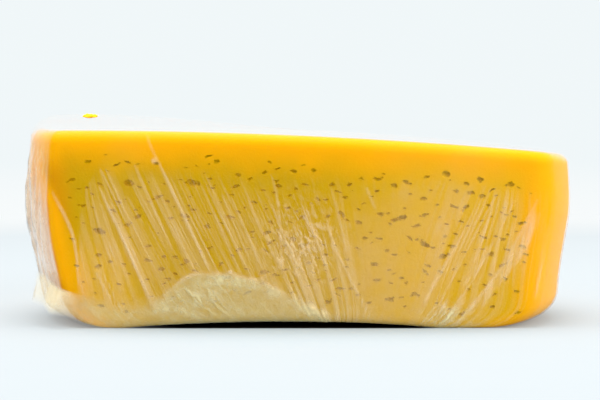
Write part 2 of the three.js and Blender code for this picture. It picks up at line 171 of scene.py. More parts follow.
# Wide folds on the cut face: places (x, z) along each, half width, haze added (below 0: share taken away)
BROAD_FOLDS = [
    ([(0.0366, 0.0070), (0.0427, 0.0191), (0.0476, 0.0276), (0.0541, 0.0374)], 0.0017, 0.20),
    ([(0.0500, 0.0050), (0.0582, 0.0150), (0.0639, 0.0223), (0.0690, 0.0340)], 0.0019, 0.30),
    ([(-0.0125, 0.0130), (-0.0040, 0.0088), (0.0110, 0.0015)], 0.0019, 0.46),
    ([(-0.0300, 0.0138), (-0.0213, 0.0143), (-0.0110, 0.0124)], 0.0019, 0.34),
    ([(-0.0430, 0.0056), (-0.0375, 0.0062), (-0.0310, 0.0042)], 0.0022, 0.30),
    ([(0.0440, 0.0060), (0.0500, 0.0150), (0.0560, 0.0260), (0.0600, 0.0370)], 0.0009, 0.10),
    ([(0.0720, 0.0300), (0.0688, 0.0080)], 0.0008, 0.12),
    ([(0.0455, 0.0345), (0.0438, 0.0270), (0.0410, 0.0180)], 0.0010, -0.85),
    ([(0.0578, 0.0410), (0.0517, 0.0280)], 0.0013, -0.85),
    ([(0.0585, 0.0282), (0.0545, 0.0249), (0.0506, 0.0231)], 0.0013, -0.8),
    ([(0.0570, 0.0232), (0.0517, 0.0150), (0.0460, 0.0097), (0.0420, 0.0062)], 0.0012, -0.85),
    ([(-0.0480, 0.0380), (-0.0425, 0.0270)], 0.0010, -0.7),
    ([(-0.0420, 0.0330), (-0.0330, 0.0150)], 0.0010, -0.7),
    ([(-0.0350, 0.0400), (-0.0240, 0.0170)], 0.0012, -0.6),
    ([(-0.0180, 0.0300), (-0.0120, 0.0180)], 0.0010, -0.6),
]
# Milkiness of the film at places (x, z) on the cut face
CLOUD_PLACES = [
    (-0.068, 0.054, 0.0), (-0.030, 0.054, 0.0), (0.000, 0.053, 0.0), (0.035, 0.052, 0.0),
    (0.065, 0.050, 0.0), (-0.068, 0.038, 0.0), (-0.066, 0.022, 0.10), (-0.054, 0.043, 0.03),
    (-0.052, 0.028, 0.13),
    (-0.048, 0.013, 0.13), (-0.028, 0.043, 0.0), (-0.028, 0.031, 0.04), (-0.026, 0.019, 0.09),
    (-0.004, 0.043, 0.0), (-0.008, 0.033, 0.0), (0.004, 0.022, 0.20), (0.010, 0.010, 0.26),
    (0.008, 0.037, 0.0), (-0.016, 0.037, 0.0), (0.020, 0.043, 0.0), (0.024, 0.030, 0.11),
    (0.026, 0.016, 0.19), (0.036, 0.041, 0.12), (0.040, 0.028, 0.15), (0.036, 0.010, 0.16),
    (0.052, 0.041, 0.10), (0.055, 0.026, 0.14), (0.052, 0.008, 0.07), (0.070, 0.038, 0.02),
    (0.068, 0.020, 0.03), (0.066, 0.008, 0.0),
]
# Soft round spots on the film: middle along and up, reach along and up. Along is x on the cut face,
# and the run along the wrap on the rind
FILM_SPOTS = {
    "crumpled": (0.000, 0.025, 0.010, 0.010),
    "gathered": (0.0430, 0.0025, 0.0065, 0.0040),
    "less_cloudy": (-0.008, 0.043, 0.024, 0.009),
    "unlined": (-0.008, 0.044, 0.024, 0.009),
    "layer_crush": (-0.029, 0.0090, 0.011, 0.0045),
    "clinging": (-0.082, 0.0470, 0.008, 0.0050),
}
BUNCH_RUN = {"middle": -0.100, "reach": 0.026}
TAUT_RUN = {"middle": 0.082, "reach": 0.016}
LAYER_EDGE_WIDTH = 0.0007
CLOUD_REACH = 0.007
CLOUD_STRENGTH = 0.85
# Right edge (z, x) of the film that clings tightly along the left of the cut face, from the bottom up
CLING_EDGE = [(0.0, -0.0660), (0.0122, -0.0643), (0.0244, -0.0640), (0.0330, -0.0638), (0.0400, -0.0624),
              (0.0475, -0.0585), (0.0560, -0.0550)]
# Upper edge of the film's second layer along the bottom, left to right
FLAP_EDGE = [(-0.075, 0.010), (-0.064, 0.0095), (-0.055, 0.0068), (-0.0426, 0.0073), (-0.0377, 0.0113),
             (-0.0325, 0.0154), (-0.0290, 0.0160), (-0.0203, 0.0160), (-0.0107, 0.0136), (0.000, 0.0084),
             (0.0087, 0.0026), (0.012, 0.0)]

# A crumb on the top, near the back left
CRUMB = {"x": -0.0652, "y": 0.005, "length": 0.0045, "depth": 0.0024, "height": 0.0012,
         "turn": (0.04, -0.03, 0.2), "ragged_edge": 0.0016, "tear_scale": 700.0, "lump_steps": 5}

# How finely each piece is divided
CHEESE_COLUMNS = {"chord": 150, "right": 10, "arc": 160, "left": 6}
CHEESE_ROWS = {"base": 8, "side": 44, "top": 8}
FILM_COLUMNS = {"chord": 340, "right": 14, "arc": 196, "left": 8, "crowding": 0.5}
FILM_ROWS = {"base": 6, "side": 62, "top": 7}
# Rings on the flat sides: share of the outline at the first and at the last, and how many
CHEESE_BASE_RINGS = (0.12, 0.94, 8)
CHEESE_TOP_RINGS = (0.97, 0.06, 18)
FILM_TOP_RINGS = (0.97, 0.08, 8)
POCKET_MESH = {"columns": 110, "rows": 48}


# Form of the cheese

def smooth(low, high, value):
    share = np.clip((value - low) / (high - low), 0.0, 1.0)
    return share * share * (3.0 - 2.0 * share)


def bell(value):
    return np.exp(-np.square(value))


def corner_inset(distance, inset, height):
    """How far a quarter-ellipse corner draws in at a distance from the face that it meets."""
    share = 1.0 - np.clip(distance / height, 0.0, 1.0)
    return inset * (1.0 - np.sqrt(1.0 - share * share))


def rind_inset(z):
    below = max(0.0, 1.0 - z / WIDEST_HEIGHT)
    above = max(0.0, (z - WIDEST_HEIGHT) / (WHEEL_HEIGHT - WIDEST_HEIGHT))
    side = SIDE_TAPER * below + SHOULDER_TAPER * above * above
    low = corner_inset(z, BASE_CORNER_INSET, BASE_CORNER_HEIGHT)
    return side + low + corner_inset(WHEEL_HEIGHT - z, TOP_CORNER, TOP_CORNER)


def cut_inset(z):
    low = corner_inset(z, CUT_BASE_EDGE, CUT_BASE_EDGE)
    return low + corner_inset(WHEEL_HEIGHT - z, CUT_TOP_EDGE, CUT_TOP_EDGE)


def outline_at(z, columns):
    """Plan outline at a height: the cut face from left to right, then round the rind."""
    radius = WHEEL_RADIUS - rind_inset(z)
    cut = CUT_FROM_AXIS - cut_inset(z)

    def corner_centre(side, r):
        return np.array([side * math.sqrt((radius - r) ** 2 - (cut - r) ** 2), r - cut])

    def arc(centre, r, start, end, steps, crowding=0.0):
        share = np.arange(steps) / steps
        share = share - crowding * np.sin(2.0 * math.pi * share) / (2.0 * math.pi)
        angle = start + (end - start) * share
        return centre + r * np.stack([np.cos(angle), np.sin(angle)], axis=1)

    right = corner_centre(1, RIGHT_CORNER)
    left = corner_centre(-1, LEFT_CORNER)
    across = left[0] + (right[0] - left[0]) * np.arange(columns["chord"]) / columns["chord"]
    chord = np.stack([across, np.full_like(across, -cut)], axis=1)
    rind_start = math.atan2(right[1], right[0])
    rind_end = math.atan2(left[1], left[0]) + 2.0 * math.pi
    return np.concatenate([
        chord,
        arc(right, RIGHT_CORNER, -math.pi / 2, rind_start, columns["right"]),
        arc(np.zeros(2), radius, rind_start, rind_end, columns["arc"], columns.get("crowding", 0.0)),
        arc(left, LEFT_CORNER, rind_end, 1.5 * math.pi, columns["left"]),
    ])


def top_height(x, y):
    back = smooth(-CUT_FROM_AXIS, WHEEL_RADIUS, y)
    hump = HUMP["rise"] * bell((x - HUMP["x"]) / HUMP["reach_x"]) * bell((y - HUMP["y"]) / HUMP["reach_y"])
    return WHEEL_HEIGHT + TOP_FALL * x + TOP_BOW * x * x + TOP_BACK_RISE * back + hump


def draw_at(draw, across, z):
    side = smooth(draw["inner"], draw["outer"], across)
    return draw["reach"] * side * (1.0 - smooth(draw["below"], draw["above"], z))


def side_draw(x, z):
    return draw_at(LEFT_DRAW, -x, z) - draw_at(RIGHT_DRAW, x, z)


def settle(points):
    """Moves points of the even wheel to their places in the uneven cheese."""
    x, y, z = points[..., 0], points[..., 1], points[..., 2]
    behind_cut = y + CUT_FROM_AXIS
    angle = np.arctan2(y, x)
    lobes = np.sin(RIND_WAVE["lobes"] * angle + RIND_WAVE["lobe_start"])
    bumps = RIND_WAVE["bump_share"] * np.sin(RIND_WAVE["bumps"] * angle + RIND_WAVE["bump_start"])
    rind = RIND_WAVE["height"] * smooth(0.0, CUT_FROM_AXIS, behind_cut) * (lobes + bumps)
    swell = 1.0 + rind / WHEEL_RADIUS
    ripple = np.sin(x / CUT_WAVE["along_x"] + CUT_WAVE["start_x"])
    ripple = ripple * np.sin(z / CUT_WAVE["along_z"] + CUT_WAVE["start_z"])
    wave = CUT_WAVE["height"] * bell(behind_cut / CUT_WAVE["depth"]) * ripple
    arch = np.maximum(0.0, 1.0 - np.square((x - LIFT["x"]) / LIFT["half_width"]))
    under = np.square(1.0 - z / WHEEL_HEIGHT)
    lift = LIFT["rise"] * arch * (1.0 - smooth(0.0, LIFT["depth"], behind_cut)) * under
    height = z * top_height(x, y) / WHEEL_HEIGHT + lift
    return np.stack([x * swell + side_draw(x, z), y * swell + wave, height], axis=-1)


def ring_heights(rows):
    """Heights of the rings, close together at the two rounded edges."""
    side_top = WHEEL_HEIGHT - TOP_CORNER
    quarter = math.pi / 2
    base = BASE_CORNER_HEIGHT * (1.0 - np.cos(quarter * np.arange(rows["base"]) / rows["base"]))
    side = BASE_CORNER_HEIGHT + (side_top - BASE_CORNER_HEIGHT) * np.arange(rows["side"]) / rows["side"]
    top = side_top + TOP_CORNER * np.sin(quarter * np.arange(rows["top"] + 1) / rows["top"])
    return np.concatenate([base, side, top])


def side_rings(heights, columns):
    rings = []
    for z in heights:
        plan = outline_at(z, columns)
        rings.append(settle(np.column_stack([plan, np.full(len(plan), z)])))
    return np.stack(rings)


def cap_rings(z, shares, columns):
    plan = outline_at(z, columns)
    rings = []
    for share in shares:
        inner = CAP_CENTRE + share * (plan - CAP_CENTRE)
        rings.append(settle(np.column_stack([inner, np.full(len(inner), z)])))
    return np.stack(rings)


def cap_centre(z):
    return settle(np.array([[CAP_CENTRE[0], CAP_CENTRE[1], z]]))


# Meshes

def mesh_of(name, points, faces):
    mesh = bpy.data.meshes.new(name)
    mesh.from_pydata(points.tolist(), [], faces)
    mesh.polygons.foreach_set("use_smooth", [True] * len(mesh.polygons))
    mesh.update()
    return mesh


def object_of(name, mesh):
    obj = bpy.data.objects.new(name, mesh)
    bpy.context.scene.collection.objects.link(obj)
    return obj


def ring_faces(ring_count, columns, closed=True):
    """Quads between neighbouring rings, looking outwards where the later ring is above."""
    faces = []
    steps = columns if closed else columns - 1
    for row in range(ring_count - 1):
        low, high = row * columns, (row + 1) * columns
        for i in range(steps):
            j = (i + 1) % columns
            faces.append((low + i, low + j, high + j, high + i))
    return faces


def set_point_values(mesh, name, values):
    layer = mesh.attributes.new(name, "FLOAT", "POINT")
    layer.data.foreach_set("value", np.asarray(values, dtype=np.float32).ravel())


def finished(obj, name):
    """The object's evaluated mesh as a plain object, with its modifiers gone."""
    depsgraph = bpy.context.evaluated_depsgraph_get()
    mesh = bpy.data.meshes.new_from_object(obj.evaluated_get(depsgraph))
    mesh.name = name
    bpy.data.objects.remove(obj)
    return object_of(name, mesh)


# Nodes

def node(tree, kind, inputs=None, **settings):
    """A new node with its settings, and its inputs linked or set."""
    made = tree.nodes.new(kind)
    for key, value in settings.items():
        setattr(made, key, value)
    for key, value in (inputs or {}).items():
        socket = made.inputs[key]
        if isinstance(value, bpy.types.NodeSocket):
            tree.links.new(value, socket)
        else:
            socket.default_value = value
    return made


def arithmetic(tree, operation, *values, clamp=False):
    made = node(tree, "ShaderNodeMath", dict(enumerate(values)), operation=operation, use_clamp=clamp)
    return made.outputs[0]


def chained(tree, operation, values):
    """One value from many, taken two at a time."""
    result = values[0]
    for value in values[1:]:
        result = arithmetic(tree, operation, result, value)
    return result


def product(tree, *values):
    return chained(tree, "MULTIPLY", values)


def largest(tree, *values):
    return chained(tree, "MAXIMUM", values)


def minus(tree, value, taken, clamp=False):
    return arithmetic(tree, "SUBTRACT", value, taken, clamp=clamp)


def plus(tree, value, share, base, clamp=False):
    """A share of a value, added to a base."""
    return arithmetic(tree, "MULTIPLY_ADD", value, share, base, clamp=clamp)


def ramp_between(tree, value, low, high, smoothly=True):
    """0 below low and 1 above high; low may be the larger of the two."""
    kind = "SMOOTHSTEP" if smoothly else "LINEAR"
    falls = low > high
    made = node(tree, "ShaderNodeMapRange", {
        "Value": value, "From Min": min(low, high), "From Max": max(low, high),
        "To Min": 1.0 if falls else 0.0, "To Max": 0.0 if falls else 1.0}, interpolation_type=kind)
    return made.outputs[0]


def crest(tree, value, width):
    """1 where a noise crosses its middle, falling to 0 over a width: thin lines."""
    off = arithmetic(tree, "ABSOLUTE", minus(tree, value, 0.5))
    return minus(tree, 1.0, arithmetic(tree, "DIVIDE", off, width), clamp=True)


def noise_at(tree, vector, scale, detail=2.0, roughness=0.5):
    made = node(tree, "ShaderNodeTexNoise", {
        "Vector": vector, "Scale": scale, "Detail": detail, "Roughness": roughness})
    return made.outputs[0]


def vector_of(tree, x=0.0, y=0.0, z=0.0):
    return node(tree, "ShaderNodeCombineXYZ", {"X": x, "Y": y, "Z": z}).outputs[0]


def parts_of(tree, vector):
    return node(tree, "ShaderNodeSeparateXYZ", {"Vector": vector}).outputs


def length_of(tree, vector):
    return node(tree, "ShaderNodeVectorMath", {0: vector}, operation="LENGTH").outputs["Value"]


def shaded_place(tree):
    return node(tree, "ShaderNodeTexCoord").outputs["Object"]


def mesh_place(tree):
    return node(tree, "GeometryNodeInputPosition").outputs[0]


def colour_mix(tree, share, first, second, blend="MIX"):
    made = node(tree, "ShaderNodeMix", data_type="RGBA", blend_type=blend)
    for key, value in ((0, share), (6, first), (7, second)):
        socket = made.inputs[key]
        if isinstance(value, bpy.types.NodeSocket):
            tree.links.new(value, socket)
        else:
            socket.default_value = value if key == 0 else (*value, 1.0)
    return made.outputs[2]


def new_material(name):
    material = bpy.data.materials.new(name)
    material.use_nodes = True
    material.node_tree.nodes.clear()
    return material, material.node_tree


def shader_mix(tree, share, first, second):
    return node(tree, "ShaderNodeMixShader", {0: share, 1: first.outputs[0], 2: second.outputs[0]})


def surface(tree, shader):
    node(tree, "ShaderNodeOutputMaterial", {"Surface": shader.outputs[0]})


def new_tree(name, sizes, objects=()):
    """A geometry tree with named inputs for its sizes and for objects that it reads."""
    tree = bpy.data.node_groups.new(name, "GeometryNodeTree")
    face = tree.interface
    face.new_socket("Geometry", in_out="INPUT", socket_type="NodeSocketGeometry")
    for label in objects:
        face.new_socket(label, in_out="INPUT", socket_type="NodeSocketObject")
    for label, value in sizes.items():
        face.new_socket(label, in_out="INPUT", socket_type="NodeSocketFloat").default_value = value
    face.new_socket("Geometry", in_out="OUTPUT", socket_type="NodeSocketGeometry")
    return tree, node(tree, "NodeGroupInput").outputs


def finish_tree(tree, geometry, finish):
    real = node(tree, "GeometryNodeRealizeInstances", {"Geometry": geometry})
    made = node(tree, "GeometryNodeSetMaterial", {"Geometry": real.outputs[0], "Material": finish})
    node(tree, "NodeGroupOutput", {"Geometry": made.outputs[0]})
    return tree


def stored(tree, name, kind="FLOAT"):
    """Values that the mesh holds under a name."""
    return node(tree, "GeometryNodeInputNamedAttribute", {"Name": name}, data_type=kind).outputs["Attribute"]


def keep(tree, geometry, name, value, domain="POINT"):
    """The geometry, holding a value under a name."""
    made = node(tree, "GeometryNodeStoreNamedAttribute", {
        "Geometry": geometry, "Name": name, "Value": value}, data_type="FLOAT", domain=domain)
    return made.outputs[0]


def pushed(tree, geometry, direction, reach):
    """The geometry with its points moved along a direction."""
    push = node(tree, "ShaderNodeVectorMath", {0: direction, "Scale": reach}, operation="SCALE")
    return node(tree, "GeometryNodeSetPosition", {"Geometry": geometry, "Offset": push.outputs[0]}).outputs[0]


def mesh_normal(tree):
    return node(tree, "GeometryNodeInputNormal").outputs[0]


def torn_direction(tree, scale, detail):
    """A direction that changes from place to place, for torn surfaces."""
    place = mesh_place(tree)
    torn = node(tree, "ShaderNodeTexNoise", {"Vector": place, "Scale": scale, "Detail": detail})
    return node(tree, "ShaderNodeVectorMath", {0: torn.outputs["Color"], 1: (0.5, 0.5, 0.5)},
                operation="SUBTRACT").outputs[0]


# Finishes

PASTE = (0.475, 0.266, 0.001)
PALE_PASTE = (0.54, 0.310, 0.002)
GRAIN_PALE = (0.74, 0.47, 0.02)
# Painted light: a brighter paste for the right of the cut face and for its lower left
LIGHT_PAINTED_PASTE = (0.64, 0.350, 0.002)
RIND_ORANGE = (0.85, 0.370, 0.001)
# Painted shade: a darker orange for surfaces that face up, offsetting the strong top light
TOP_SHADE_ORANGE = (0.66, 0.225, 0.001)
# Painted shade: a darker orange for the rind's upper left, next to the cut
SHADE_PAINTED_ORANGE = (0.60, 0.255, 0.001)
CRUMB_YELLOW = (0.90, 0.72, 0.012)
CRUMB_WARM = (0.94, 0.66, 0.02)
# Painted shade: a darker, browner colour for the walls of the eye hollows
EYE_HOLLOW_SHADE = (0.50, 0.270, 0.0004)
PEACH_HAZE = (0.97, 0.72, 0.36)
CREAM_HAZE = (0.86, 0.76, 0.43)
WHITE_HAZE = (0.95, 0.80, 0.64)
# Painted shadow: near black for the floor under the lifted middle of the cut face
GAP_SHADE_PAINT = (0.02, 0.015, 0.01)
# Depth under the surface over which the rind's orange runs into the paste, and the paste's grain
RIND_BAND = {"inner": 0.0140, "outer": 0.0025, "blend": 0.006, "uneven": 0.006, "uneven_scale": 90.0,
             "base_inset": 0.009}
PASTE_GRAIN = {"scale": 1400.0, "paleness": 0.10, "strength": 0.25, "depth": 0.0003}
# How milky each kind of fold is, and how much of the surroundings the film mirrors
HAZE = {"layer": 0.17, "wrinkle": 0.34, "pleat": 0.30, "stretch": 0.09, "crumple": 0.30}
MIRROR = {"clinging": 0.0008, "air_gap": 0.020, "stretch": 0.012, "most": 0.93}
GLOSS_BLUR = {"sides": 0.14, "top_adds": 0.03}
# How steeply each kind of gloss grows as the film is seen at a slant
SLANTS = {"sheen": 6.0, "top_sheen": 12.0, "glare": 3.0}


def cheese_finish():
    """Yellow paste, orange towards the rind and the top, with painted shade and light: a darker orange on the
    rind's upper left by the cut and on surfaces that face up, a brighter paste to the right and at the lower
    left, and darker, browner walls in the eye hollows.
    """
    material, tree = new_material("cheese_paste")
    place = shaded_place(tree)
    x, y, z = parts_of(tree, place)
    fall = plus(tree, x, TOP_BOW, TOP_FALL)
    top = plus(tree, x, fall, WHEEL_HEIGHT)
    below_top = minus(tree, top, z)
    plan = vector_of(tree, x, y)
    from_axis = length_of(tree, plan)
    inside_rind = minus(tree, WHEEL_RADIUS, from_axis)
    low = ramp_between(tree, z, BASE_CORNER_HEIGHT, 0.0, smoothly=False)
    drawn_in = product(tree, low, low, RIND_BAND["base_inset"])
    upper_left = product(tree, ramp_between(tree, x, 0.02, -0.02), ramp_between(tree, z, 0.014, 0.036))
    steep = plus(tree, upper_left, 0.8, 1.20)
    side_depth = product(tree, minus(tree, inside_rind, drawn_in), steep)
    depth = arithmetic(tree, "SMOOTH_MIN", below_top, side_depth, RIND_BAND["blend"])
    uneven = noise_at(tree, place, RIND_BAND["uneven_scale"])
    depth = plus(tree, minus(tree, uneven, 0.5), RIND_BAND["uneven"], depth)
    rind_share = ramp_between(tree, depth, RIND_BAND["inner"], RIND_BAND["outer"])
    paste = colour_mix(tree, noise_at(tree, place, 260.0, 4.0), PASTE, PALE_PASTE)
    # Painted light: the paste is brighter towards the right and at the lower left
    lower_left_painted_light = product(tree, ramp_between(tree, x, -0.036, -0.058), ramp_between(tree, z, 0.036, 0.012))
    painted_light_share = largest(tree, ramp_between(tree, x, -0.004, 0.042), lower_left_painted_light)
    paste = colour_mix(tree, painted_light_share, paste, LIGHT_PAINTED_PASTE)
    # Painted shade: the rind turns a darker orange at the upper left, next to the cut and above a slanting
    # line
    left_edge = ramp_between(tree, x, -0.052, -0.066)
    over_line = plus(tree, x, 2.1, z)
    painted_left_shade = product(tree, left_edge, ramp_between(tree, below_top, 0.004, 0.014),
                     ramp_between(tree, over_line, -0.116, -0.107), ramp_between(tree, y, -0.030, -0.036))
    rind = colour_mix(tree, painted_left_shade, RIND_ORANGE, SHADE_PAINTED_ORANGE)
    colour = colour_mix(tree, rind_share, paste, rind)
    # Painted shade: surfaces that face up, away from the cut's edge, turn a darker orange in blotches,
    # offsetting the strong top light
    facing_up = parts_of(tree, node(tree, "ShaderNodeNewGeometry").outputs["Normal"])["Z"]
    blotches = plus(tree, noise_at(tree, place, 55.0, 4.0), 0.5, 0.62, clamp=True)
    top_painted_shade = product(tree, ramp_between(tree, facing_up, 0.86, 0.99), blotches)
    from_edge = ramp_between(tree, y, -0.034, -0.012)
    colour = colour_mix(tree, product(tree, top_painted_shade, from_edge), colour, TOP_SHADE_ORANGE)
    grain = noise_at(tree, place, PASTE_GRAIN["scale"], 3.0)
    shade = ramp_between(tree, grain, 0.30, 0.62)
    inner_share = minus(tree, 1.0, rind_share)
    colour = colour_mix(tree, product(tree, shade, PASTE_GRAIN["paleness"], inner_share), colour, GRAIN_PALE)
    # Painted shade: the walls of the eye hollows are darker and browner
    eye_wall = node(tree, "ShaderNodeAttribute", attribute_name="eye_wall").outputs["Fac"]
    colour = colour_mix(tree, eye_wall, colour, EYE_HOLLOW_SHADE)
    bump = node(tree, "ShaderNodeBump", {
        "Height": grain, "Strength": PASTE_GRAIN["strength"], "Distance": PASTE_GRAIN["depth"]})
    paste_shader = node(tree, "ShaderNodeBsdfPrincipled", {
        "Base Color": colour, "Roughness": 0.5, "Subsurface Weight": 0.15,
        "Subsurface Radius": (1.0, 0.55, 0.12), "Subsurface Scale": 0.002,
        "Specular IOR Level": 0.02, "Normal": bump.outputs["Normal"]})
    surface(tree, paste_shader)
    return material


def fold_strips(tree, run, z):
    """Flat strips between the folds, and the thin lines of the folds, along the way the film is pulled."""
    across = product(tree, run, 425.0)
    strip_up, line_up = product(tree, z, 13.0), product(tree, z, 9.0)
    strip_noise = noise_at(tree, vector_of(tree, across, strip_up), 1.0, 1.0)
    line_noise = noise_at(tree, vector_of(tree, across, line_up, 4.4), 1.0, 1.0)
    return ramp_between(tree, strip_noise, 0.44, 0.56), crest(tree, line_noise, 0.05)


def fold_gathers(tree, run, z):
    """Upright pleats where the film is bunched."""
    across, up = product(tree, run, 210.0), product(tree, z, 22.0)
    return crest(tree, noise_at(tree, vector_of(tree, across, up, 5.2), 1.0, 2.0), 0.16)


def flecks(tree, place, run, z):
    """Crumpled film: short broken strokes along the folds, and smaller specks between them."""
    across = product(tree, run, 900.0)
    up = product(tree, z, 330.0)
    strokes = ramp_between(tree, noise_at(tree, vector_of(tree, across, up, 2.7), 1.0, 2.0, 0.6), 0.50, 0.66)
    specks = ramp_between(tree, noise_at(tree, place, 620.0, 2.0, 0.6), 0.50, 0.66)
    return plus(tree, specks, 0.55, strokes)


def stretch_lines(tree, x, y):
    """Patches of long thin lines where the film is stretched over the top."""
    along = vector_of(tree, product(tree, x, 15.0), product(tree, y, 170.0), 7.7)
    patches = ramp_between(tree, noise_at(tree, vector_of(tree, x, y, 0.31), 26.0, 1.0), 0.46, 0.66)
    return product(tree, crest(tree, noise_at(tree, along, 1.0, 1.0), 0.05), patches)


def film_finish(name):
    """Clear film: hazy where it stands off in strips, wrinkles and crumples, glossy where seen at a slant."""
    material, tree = new_material(name)
    place = shaded_place(tree)
    x, y, z = parts_of(tree, place)

    def trait(name):
        return node(tree, "ShaderNodeAttribute", attribute_name=name).outputs["Fac"]

    run, tension, bunch = trait("fold_place"), trait("tension"), trait("bunch")
    strips, lines = (product(tree, shape, tension) for shape in fold_strips(tree, run, z))
    pleats = product(tree, fold_gathers(tree, run, z), bunch)
    stretched = product(tree, stretch_lines(tree, x, y), trait("top"))
    filled = largest(tree, strips, product(tree, bunch, 0.45))
    haze = plus(tree, trait("cloud"), plus(tree, filled, 0.75, 0.30), trait("milky"))
    haze = plus(tree, lines, trait("line_haze"), haze)
    folds = {"layer": trait("flap"), "wrinkle": trait("wrinkle"), "pleat": pleats, "stretch": stretched}
    for kind, shape in folds.items():
        haze = plus(tree, shape, HAZE[kind], haze)
    patchy = ramp_between(tree, noise_at(tree, place, 150.0, 3.0), 0.30, 0.70)
    mottled = ramp_between(tree, noise_at(tree, place, 520.0, 3.0, 0.65), 0.36, 0.64)
    uneven = plus(tree, mottled, trait("speckle"), plus(tree, patchy, 0.42, 0.58))
    crushed = product(tree, trait("crumple"), flecks(tree, place, run, z))
    haze = plus(tree, crushed, HAZE["crumple"], product(tree, haze, uneven), clamp=True)
    haze_colour = colour_mix(tree, trait("cream"), PEACH_HAZE, CREAM_HAZE)
    haze_colour = colour_mix(tree, trait("pale"), haze_colour, WHITE_HAZE)
    clear = node(tree, "ShaderNodeBsdfTransparent")
    cloud = node(tree, "ShaderNodeBsdfDiffuse", {"Color": haze_colour})
    cloudy = shader_mix(tree, haze, clear, cloud)
    facing = node(tree, "ShaderNodeLayerWeight", {"Blend": 0.5}).outputs["Facing"]
    mirror = plus(tree, trait("air_gap"), MIRROR["air_gap"], MIRROR["clinging"])
    mirror = plus(tree, stretched, MIRROR["stretch"], mirror)
    for kind, slant in SLANTS.items():
        mirror = plus(tree, arithmetic(tree, "POWER", facing, slant), trait(kind), mirror)
    mirror = arithmetic(tree, "MINIMUM", mirror, MIRROR["most"])
    blur = plus(tree, trait("top"), GLOSS_BLUR["top_adds"], GLOSS_BLUR["sides"])
    gloss = node(tree, "ShaderNodeBsdfGlossy", {"Color": (1.0, 1.0, 1.0, 1.0), "Roughness": blur})
    film = shader_mix(tree, mirror, cloudy, gloss)
    surface(tree, film)
    return material


def stage_finish():
    """White near the cheese, running into the pale surroundings further off, with a painted shadow, near
    black, on the floor under the lifted middle of the cut face, and a glow round the cheese that lightens its
    cast shadows: painted light.
    """
    material, tree = new_material("studio_white")
    place = shaded_place(tree)
    far = length_of(tree, place)
    speckle = noise_at(tree, place, 40.0, 2.0)
    tone = colour_mix(tree, speckle, FLOOR_WHITE, tuple(0.985 * part for part in FLOOR_WHITE))
    x, y, _ = parts_of(tree, place)
    # Painted shadow: the floor turns near black under the lifted middle of the cut face
    from_lift = arithmetic(tree, "ABSOLUTE", minus(tree, x, LIFT["x"]))
    painted_gap_shade = product(tree, ramp_between(tree, from_lift, 0.047, 0.040),
                      ramp_between(tree, y, -0.0412, -0.0392), ramp_between(tree, y, 0.02, 0.0))
    tone = colour_mix(tree, painted_gap_shade, tone, GAP_SHADE_PAINT)
    white = node(tree, "ShaderNodeBsdfDiffuse", {"Color": tone})
    glow = colour_mix(tree, ramp_between(tree, far, 0.35, 2.0), FLOOR_GLOW, SURROUND)
    pale = node(tree, "ShaderNodeEmission", {"Color": glow, "Strength": 1.0})
    # Painted light: the floor glows round the cheese, which lightens its cast shadows there
    shadow_lifting_glow = product(tree, ramp_between(tree, far, 0.050, 0.100), 0.55)
    share = largest(tree, shadow_lifting_glow, ramp_between(tree, far, 0.20, 0.60))
    both = shader_mix(tree, share, white, pale)
    surface(tree, both)
    return material


# The cheese

class Draw:
    """Evenly spread numbers from a seed."""

    def __init__(self, seed):
        self.state = seed

    def between(self, low, high):
        self.state = (self.state * 1664525 + 1013904223) % 2 ** 32
        return low + (high - low) * self.state / 2 ** 32


def eye_places():
    """Place, width, height and tilt of each eye: large ones, then scattered where there is most room."""
    draw = Draw(EYE_SEED)
    eyes = [(*eye, draw.between(-EYE_TILT, EYE_TILT)) for eye in LARGE_EYES]
    while len(eyes) < ALL_EYES:
        carved = len(eyes) < CARVED_EYES
        field = EYE_FIELD if carved else SMALL_EYE_FIELD
        best, best_room = None, -1.0
        for _ in range(EYE_TRIES if carved else SMALL_EYE_TRIES):
            x = draw.between(-field["half_width"], field["half_width"])
            z = draw.between(field["low"], field["high"])
            if not carved:
                high = min(field["high"], top_height(x, -CUT_FROM_AXIS) - field["under_top"])
                share = (z - field["low"]) / (field["high"] - field["low"])
                z = field["low"] + (high - field["low"]) * share ** field["crowding"]
            room = min(math.hypot(eye[0] - x, eye[1] - z) for eye in eyes)
            if room > best_room:
                best, best_room = (x, z), room
        width = draw.between(*(EYE_WIDTH if carved else SMALL_EYE_WIDTH))
        height = width * draw.between(*EYE_FLATNESS)
        eyes.append((*best, width, height, draw.between(-EYE_TILT, EYE_TILT)))
    return eyes


def eye_hollows():
    """Each eye as one to three flat hollows side by side, each in its own round of carving."""
    draw = Draw(EYE_SEED + 1)
    more = MORE_HOLLOWS
    hollows = []
    for x, z, width, height, tilt in eye_places():
        hollows.append((x, z, FIRST_HOLLOW["width"] * width, FIRST_HOLLOW["height"] * height, tilt, 0))
        for turn in range(1, 1 + int(draw.between(*more["count"]))):
            side = draw.between(-more["aside"], more["aside"]) * width
            rise = side * -math.tan(tilt) + draw.between(-more["rise"], more["rise"]) * height
            hollow_width = draw.between(*more["width"]) * width
            hollow_height = draw.between(*more["height"]) * height
            hollow_tilt = tilt + draw.between(-more["tilt"], more["tilt"])
            hollows.append((x + side, z + rise, hollow_width, hollow_height, hollow_tilt, turn))
    apart = []
    for eye in hollows:
        same = [other for other in apart if other[5] == eye[5]]
        if all(math.hypot(eye[0] - x, eye[1] - z) > more["apart"] * (eye[2] + width)
               for x, z, width, *_ in same):
            apart.append(eye)
    return np.array(apart)


